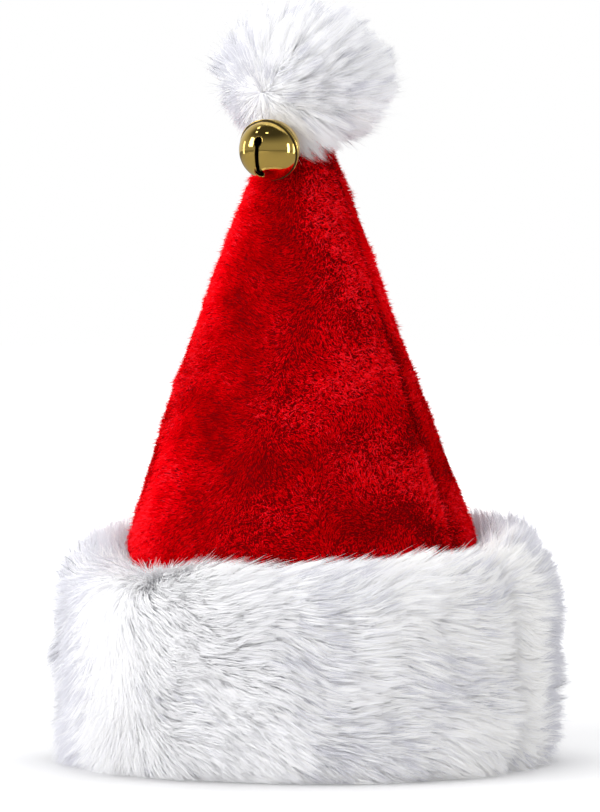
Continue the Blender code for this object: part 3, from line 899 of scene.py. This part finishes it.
def growFur(surface, count, spec, flowOf, lengthOf, whorlOf, clumpOf, lockOf, furry, rng):
    # long strands gathered in wisps, and the wisps in locks
    roots, normals = scatter(surface, count, rng, furry)
    area = surface[2][furry(surface[0].mean(axis=1), unit(surface[1].mean(axis=1))) > 0.0].sum()
    locks = scatter(surface, int(area / spec["lock"] ** 2), rng, furry)
    wisps = scatter(surface, int(area / spec["wisp"] ** 2), rng, furry)
    hair = spec["hair"]
    lockPoints = layStrands(*locks, flowOf(*locks), hair, rng, lengthOf(locks[0]))
    # at the whorl the wisps splay every way
    splay = rng.normal(0.0, spec["splay"], wisps[0].shape) * whorlOf(wisps[0])[:, None]
    splay = splay - wisps[1] * (splay * wisps[1]).sum(axis=1)[:, None]
    wispPoints = layStrands(*wisps, flowOf(*wisps) + splay, hair, rng, lengthOf(wisps[0]))
    pull = rng.uniform(0.4, 1.0, len(wisps[0])) * spec["lockPull"] * lockOf(wisps[0])
    pull = pull * (1.0 - 0.7 * whorlOf(wisps[0]))
    wispPoints = gather(wispPoints, nearest(wisps[0], locks[0]), lockPoints, pull)
    lead = nearest(roots, wisps[0])
    points = layStrands(roots, normals, flowOf(roots, normals) + splay[lead], hair, rng, lengthOf(roots))
    pull = rng.uniform(0.6, 1.0, count) * spec["wispPull"] * clumpOf(roots)
    pull = pull * (rng.uniform(size=count) > spec["stray"])
    points = gather(points, lead, wispPoints, pull)
    # a wisp mostly shares its tone
    shared = rng.uniform(size=count) < 0.65
    draw = np.where(shared, rng.uniform(size=len(wisps[0]))[lead], rng.uniform(size=count))
    return roots, normals, points, draw


def growDown(name, surface, spec, flowOf, lengthOf, shadeOf, furry, tidy, rng):
    # short dense strands that fill the gaps between the long ones
    count = spec["down"]
    roots, normals = scatter(surface, count, rng, furry)
    points = layStrands(roots, normals, flowOf(roots, normals), spec["downHair"], rng, lengthOf(roots))
    tones = np.where(rng.uniform(size=count) < shadeOf(roots), 7, rng.choice([1, 2, 5, 6], count))
    return makeRibbons(name, tidy(points), normals, spec["downWidth"] * rng.uniform(0.7, 1.3, count),
                       tones[:, None], whiteTones, rng, twist=0.3, soft=0.85)


def makeBandFur(pad):
    rng = np.random.default_rng(8)
    surface = surfaceOf(pad)

    def tidy(points):
        points = keepOffCone(points, 1.2)
        points[:, :, 2] = np.maximum(points[:, :, 2], 0.3)
        return points

    count = band["strands"] * band["pieces"]
    roots, normals, points, draw = growFur(surface, count, band, bandFlow, bandLength, bandWhorl,
                                           bandClump, bandLock, bandFurry, rng)
    points = tidy(points)
    azimuth = bandAzimuth(roots)
    warm = 0.15 + 0.75 * eased((azimuth + 20.0) / 90.0) * (np.abs(azimuth) < 150.0)
    # clear: a brighter white painted on the front left, where the key light falls
    clear = 0.95 * np.exp(-((azimuth + 32.0) / 22.0) ** 2)
    tones = toneOf(count, band["hair"]["segments"], warm, clear, bandShade(roots), draw, rng)
    width = band["width"] * rng.uniform(0.65, 1.25, count)
    order = np.argsort(azimuth)
    pieces = [growDown("bandDown", surface, band, bandFlow, bandLength, bandShade, bandFurry, tidy, rng)]
    for i in range(band["pieces"]):
        part = order[i * band["strands"]:(i + 1) * band["strands"]]
        pieces.append(makeRibbons("bandFur" + "LMR"[i], points[part], normals[part], width[part],
                                  tones[part], whiteTones, rng))
    return pieces


bandPad = makeBandPad()
bandFur = makeBandFur(bandPad)
for piece in [bandPad] + bandFur:
    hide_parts("cuff")
    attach(piece, "root")
print("band made")


# pompom: a stuffed ball, its long fur swept to the right from a parting
pompom = {
    "at": (-3.2, 0.0, 340.0),
    "half": (28.5, 26.5, 21.0),
    "seat": 320.6,
    "parting": (-0.720, -0.580, -0.380),
    "strands": 44000,
    "hair": hairOf(22.5, 0.28, 0.13, 0.09, 2, 0.55, 1.30, 0.50, 0.10),
    "down": 22000,
    "downHair": hairOf(11.0, 0.3, 0.30, 0.0, 1, 0.8, 0.8, 0.0, 0.0),
    "downWidth": 1.0,
    "width": 0.46,
    "lock": 8.5, "wisp": 3.3,
    "lockPull": 0.40, "wispPull": 0.90, "stray": 0.10, "splay": 0.30,
}

# bell: two cups round a pellet, held by an eye and thread
bell = {
    "at": (-20.5, -32.0, 305.1), "pole": (-0.42, -0.847, -0.326), "slotWay": (-0.047, -0.338, 0.940),
    "radius": 15.1, "wall": 0.8, "rim": 0.8, "rimDepth": 1.2, "backRim": 0.35,
    "slot": 2.0, "holes": [(-32.0, 2.35, 3.2), (33.0, 2.0, 2.8)], "cut": 7.5, "softEdge": 0.38,
    "eye": 2.6, "eyeWire": 0.7, "eyeSink": 0.7, "turns": 96,
    "thread": 2.2, "threadThick": 0.16, "threadRounds": 4,
    "pellet": 3.2, "pelletDrop": 10.6,
}


def keepOffBell(points, margin):
    flat = points.reshape(-1, 3)
    away = flat - np.array(bell["at"])
    far = np.linalg.norm(away, axis=1, keepdims=True)
    reach = bell["radius"] + bell["rim"] + margin
    flat = np.where(far < reach, np.array(bell["at"]) + away / np.maximum(far, 0.1) * reach, flat)
    return flat.reshape(points.shape)


def makePompomPad():
    bm = bmesh.new()
    bmesh.ops.create_uvsphere(bm, u_segments=64, v_segments=32, radius=1.0)
    for vert in bm.verts:
        co = Vector(pompom["at"]) + vert.co * Vector(pompom["half"])
        co.z = max(co.z, pompom["seat"])
        vert.co = co * mm
    inOrder(bm)
    return keepPiece("pompomPad", bm, [furPad("pompomUnderfur")])


def pompomFlow(places, normals):
    parting = unit(np.array(pompom["parting"]))
    flow = normals * (normals @ parting)[:, None] - parting
    # the left side stands out, the right side is swept
    right = eased((places[:, 0] - pompom["at"][0] + 30.0) / 24.0)
    sweep = (0.55 + 0.50 * right) * (1.0 + 0.25 * waves(places, 16.0, 41))
    return laidDown(lively(flow, 0.8) * sweep[:, None], pompomWhorl(places))


def pompomAway(places):
    # which way the pompom's ball faces
    return unit((places - np.array(pompom["at"])) / np.array(pompom["half"]) ** 2)


def pompomWhorl(places):
    # 1 at the parting that the fur runs out from
    away = pompomAway(places)
    return np.exp(-(np.arccos(np.clip(away @ unit(np.array(pompom["parting"])), -1.0, 1.0)) / 0.50) ** 2)


def pompomLock(places):
    # locks close into spikes all round the outline
    away = pompomAway(places)
    return 1.0 + 0.9 * eased((0.62 + away[:, 1]) / 0.35)


def makePompomFur(pad):
    rng = np.random.default_rng(12)
    surface = surfaceOf(pad)

    def furry(places, normals):
        return (places[:, 2] > pompom["seat"] + 0.4).astype(float)

    def lengthOf(places):
        return (1.0 + 0.12 * waves(places, 9.0, 42)) * (1.0 - 0.20 * pompomWhorl(places))

    def clumpOf(places):
        return 1.0 - 0.35 * pompomWhorl(places)

    def shadeOf(places):
        # painted shade: greyer at the back, the top and the left rim
        left = 0.85 * eased((-21.0 - places[:, 0]) / 7.0)
        over = 0.5 * eased((places[:, 2] - 351.0) / 7.0)
        behind = places[:, 1]
        back = 0.8 * eased((behind + 9.0) / 10.0) * (1.0 - 0.8 * eased((behind - 9.0) / 8.0))
        return np.maximum(0.10, np.maximum(left, np.maximum(over, back)))

    def tidy(points):
        points = keepOffCone(points, 2.5)
        return keepOffBell(points, 0.8)

    roots, normals, points, draw = growFur(surface, pompom["strands"], pompom, pompomFlow, lengthOf,
                                           pompomWhorl, clumpOf, pompomLock, furry, rng)
    # the pompom's lit left side takes the brighter clear white, painted light
    left = eased((pompom["at"][0] + 2.0 - roots[:, 0]) / 22.0)
    tones = toneOf(len(roots), pompom["hair"]["segments"], 0.12, 0.85 * left, shadeOf(roots), draw, rng)
    width = pompom["width"] * rng.uniform(0.65, 1.25, len(roots))
    return [makeRibbons("pompomFur", tidy(points), normals, width, tones, whiteTones, rng),
            growDown("pompomDown", surface, pompom, pompomFlow, lengthOf, shadeOf, furry, tidy, rng)]


pompomPad = makePompomPad()
pompomFur = makePompomFur(pompomPad)
for piece in [pompomPad] + pompomFur:
    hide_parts("pompom")
    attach(piece, "root")
print("pompom made")


def polished(name, color, roughness):
    material, shader = newMaterial(name)
    nodes, links = treeOf(material)
    shader.inputs["Metallic"].default_value = 1.0
    dark = [part * 0.93 for part in color]
    tint = grainTint(material, 180.0, 5.0, dark, color)
    glossAndPaintedLight = nodes.new("ShaderNodeMapRange")
    glossAndPaintedLight.inputs["To Min"].default_value = roughness * 0.7
    glossAndPaintedLight.inputs["To Max"].default_value = roughness * 1.5
    links.new(tint.outputs["Value"], glossAndPaintedLight.inputs["Value"])
    links.new(glossAndPaintedLight.outputs["Result"], shader.inputs["Roughness"])
    ripple = useGroup(material, grain, {"Scale": 70.0, "Detail": 2.0})
    addBump(material, ripple.outputs["Value"], 0.10, 0.0005)
    return material


def bellPlace():
    zAxis = Vector(bell["pole"]).normalized()
    xAxis = Vector(bell["slotWay"]).cross(zAxis).normalized()
    turn = Matrix((xAxis, zAxis.cross(xAxis), zAxis)).transposed().to_4x4()
    return Matrix.Translation(Vector(bell["at"])) @ turn


def cupShell(side, reach):
    # half a thin ball about Z, its mouth rolled out into a rim
    radius, within = bell["radius"], bell["radius"] - bell["wall"]
    start = math.asin((bell["rimDepth"] + 0.8) / radius)
    arc = [start + (math.pi / 2.0 - start) * (1.0 - i / 24.0) for i in range(25)]
    profile = [(radius * math.cos(a), radius * math.sin(a)) for a in arc]
    profile.append((radius - 0.45, bell["rimDepth"] + 0.35))
    lip = bell["rimDepth"] / 2.0
    for i in range(1, 8):
        a = math.pi / 2.0 - math.pi * i / 8.0
        out = radius + reach - lip * 0.7 + lip * 0.7 * math.cos(a)
        profile.append((out, lip + 0.1 + (lip - 0.15) * math.sin(a)))
    profile.append((within, 0.15))
    for i in range(1, 21):
        a = math.pi / 2.0 * i / 20.0
        profile.append((within * math.cos(a), 0.15 + (within - 0.15) * math.sin(a)))
    bm = bmesh.new()
    verts = [bm.verts.new((r, 0.0, z * side)) for r, z in profile]
    edges = [bm.edges.new(pair) for pair in zip(verts, verts[1:])]
    bmesh.ops.spin(bm, geom=verts + edges, cent=(0, 0, 0), axis=(0, 0, 1), angle=2.0 * math.pi,
                   steps=bell["turns"], use_merge=True, use_duplicate=False)
    bmesh.ops.remove_doubles(bm, verts=bm.verts, dist=0.001)
    bmesh.ops.recalc_face_normals(bm, faces=bm.faces)
    return bm


def bellPiece(name, bm, materials):
    bm.transform(Matrix.Scale(mm, 4) @ bellPlace())
    return keepPiece(name, bm, materials)


def slotCutters():
    cutters = []
    for angle, halfWide, halfTall in bell["holes"]:
        bm = bmesh.new()
        way = Matrix.Rotation(math.radians(-angle), 4, "X")
        middle = bell["radius"] - bell["cut"] / 2.0
        oval = Matrix.Diagonal((halfWide, halfTall, 1.0, 1.0))
        bmesh.ops.create_cone(bm, cap_ends=True, segments=40, radius1=1.0, radius2=1.0,
                              depth=bell["cut"] + 4.0,
                              matrix=way @ Matrix.Translation((0.0, 0.0, middle + 2.0)) @ oval)
        cutters.append(bellPiece("holeCutter", bm, []))
    bm = bmesh.new()
    tall = 2.0 * bell["radius"] * math.sin(math.radians(bell["holes"][1][0]))
    bmesh.ops.create_cube(bm, size=1.0)
    bmesh.ops.transform(bm, matrix=Matrix.Translation((0.0, 0.0, bell["radius"] - 1.0)) @
                        Matrix.Diagonal((bell["slot"], tall, 12.0, 1.0)), verts=bm.verts)
    cutters.append(bellPiece("slotCutter", bm, []))
    return cutters


def makeBellCup(name, side, reach, material, innerAndPaintedShade):
    bm = cupShell(side, reach)
    # inside faces, the rim's groove and the mouth take the dark dull brass: partly the bell's own unplated
    # inside and the joint of its cups, partly painted shade in the hollow and the groove
    for face in bm.faces:
        middle = face.calc_center_median()
        out, up = math.hypot(middle.x, middle.y), abs(middle.z)
        inside = middle.length < bell["radius"] - bell["wall"] * 0.6
        groove = out < bell["radius"] + 0.3 and bell["rimDepth"] * 0.85 < up < bell["rimDepth"] + 0.7
        if inside or groove or up < 0.35:
            face.material_index = 1
    cup = bellPiece(name, bm, [material, innerAndPaintedShade])
    if side > 0:
        cutters = slotCutters()
        for cutter in cutters:
            cut = cup.modifiers.new("cut", "BOOLEAN")
            cut.operation = "DIFFERENCE"
            cut.object = cutter
        settle(cup)
        for cutter in cutters:
            bpy.data.objects.remove(cutter)
        edge = cup.modifiers.new("edge", "BEVEL")
        edge.width = bell["softEdge"] * mm
        edge.segments = 3
        edge.use_clamp_overlap = False
        edge.limit_method = "ANGLE"
        edge.angle_limit = math.radians(50.0)
        settle(cup)
    cup.data.set_sharp_from_angle(angle=math.radians(40.0))
    return cup


def ringShape(bm, centre, axis, start, radius, thick, steps=36, sides=10):
    # a torus: a small circle spun round axis
    axis, start = Vector(axis).normalized(), Vector(start).normalized()
    turn = Matrix((start, axis, start.cross(axis))).transposed().to_4x4()
    made = bmesh.ops.create_circle(bm, segments=sides, radius=thick,
                                   matrix=Matrix.Translation(Vector(centre) + start * radius) @ turn)
    edges = list({edge for vert in made["verts"] for edge in vert.link_edges})
    bmesh.ops.spin(bm, geom=made["verts"] + edges, cent=centre, axis=axis, angle=2.0 * math.pi,
                   steps=steps, use_merge=True, use_duplicate=False)


def makeEye(material):
    bm = bmesh.new()
    reach = bell["radius"] + bell["eye"] - bell["eyeSink"]
    ringShape(bm, (0.0, 0.0, -reach), (1.0, 0.0, 0.0), (0.0, 0.0, 1.0), bell["eye"], bell["eyeWire"], 48, 16)
    bmesh.ops.recalc_face_normals(bm, faces=bm.faces)
    return bellPiece("bellEye", bm, [material])


def makePellet():
    bm = bmesh.new()
    bmesh.ops.create_icosphere(bm, subdivisions=3, radius=bell["pellet"])
    centre = Vector(bell["at"]) - Vector((0.0, 0.0, bell["pelletDrop"]))
    bm.transform(Matrix.Scale(mm, 4) @ Matrix.Translation(centre))
    return keepPiece("bellPellet", bm, [polished("pelletSteel", (0.50, 0.49, 0.47), 0.35)])


def makeThread():
    low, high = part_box("bell_thread")
    low, high = Vector(low) / mm, Vector(high) / mm
    centre = (low + high) / 2.0
    axis = bellPlace().to_3x3() @ Vector((0.0, 1.0, 0.0))
    bm = bmesh.new()
    for i in range(bell["threadRounds"]):
        shift = (i - (bell["threadRounds"] - 1) / 2.0) * bell["threadThick"] * 1.7
        lean = Vector((0.0, 0.0, 0.10 * (i % 2) - 0.05))
        across = (axis + lean).normalized()
        start = across.orthogonal()
        radius = bell["thread"] - 0.1 * (i % 2)
        ringShape(bm, centre + across * shift, across, start, radius, bell["threadThick"], 40, 8)
    bmesh.ops.recalc_face_normals(bm, faces=bm.faces)
    bm.transform(Matrix.Scale(mm, 4))
    return keepPiece("bellThread", bm, [knitMaterial("redThread", (0.60, 0.02, 0.06), (0.42, 0.01, 0.04))])


gold = polished("bellGold", (0.86, 0.61, 0.16), 0.07)
# dark dull brass: the bell's unplated inside, and painted shade in its hollow and rim groove
dullAndPaintedShade = polished("bellInsideAndShade", (0.12, 0.085, 0.04), 0.55)
frontCup = makeBellCup("bellFront", 1, bell["rim"], gold, dullAndPaintedShade)
backCup = makeBellCup("bellBack", -1, bell["backRim"], gold, dullAndPaintedShade)
bellEye = makeEye(gold)
pellet = makePellet()
thread = makeThread()
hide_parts("bell_front_cup")
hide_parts("bell_back_cup")
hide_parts("bell_back_cup")
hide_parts("bell_pellet")
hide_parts("bell_thread")
for piece, slot in ((frontCup, "bell_gold"), (backCup, "bell_gold"), (bellEye, "bell_gold"),
                    (pellet, "pellet_steel"), (thread, "red_thread")):
    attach(piece, "root")
print("bell made")

plain = lambda box: [[float(value) for value in corner] for corner in box]
{"cad": plain(cadBounds), "visual": plain(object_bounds())}
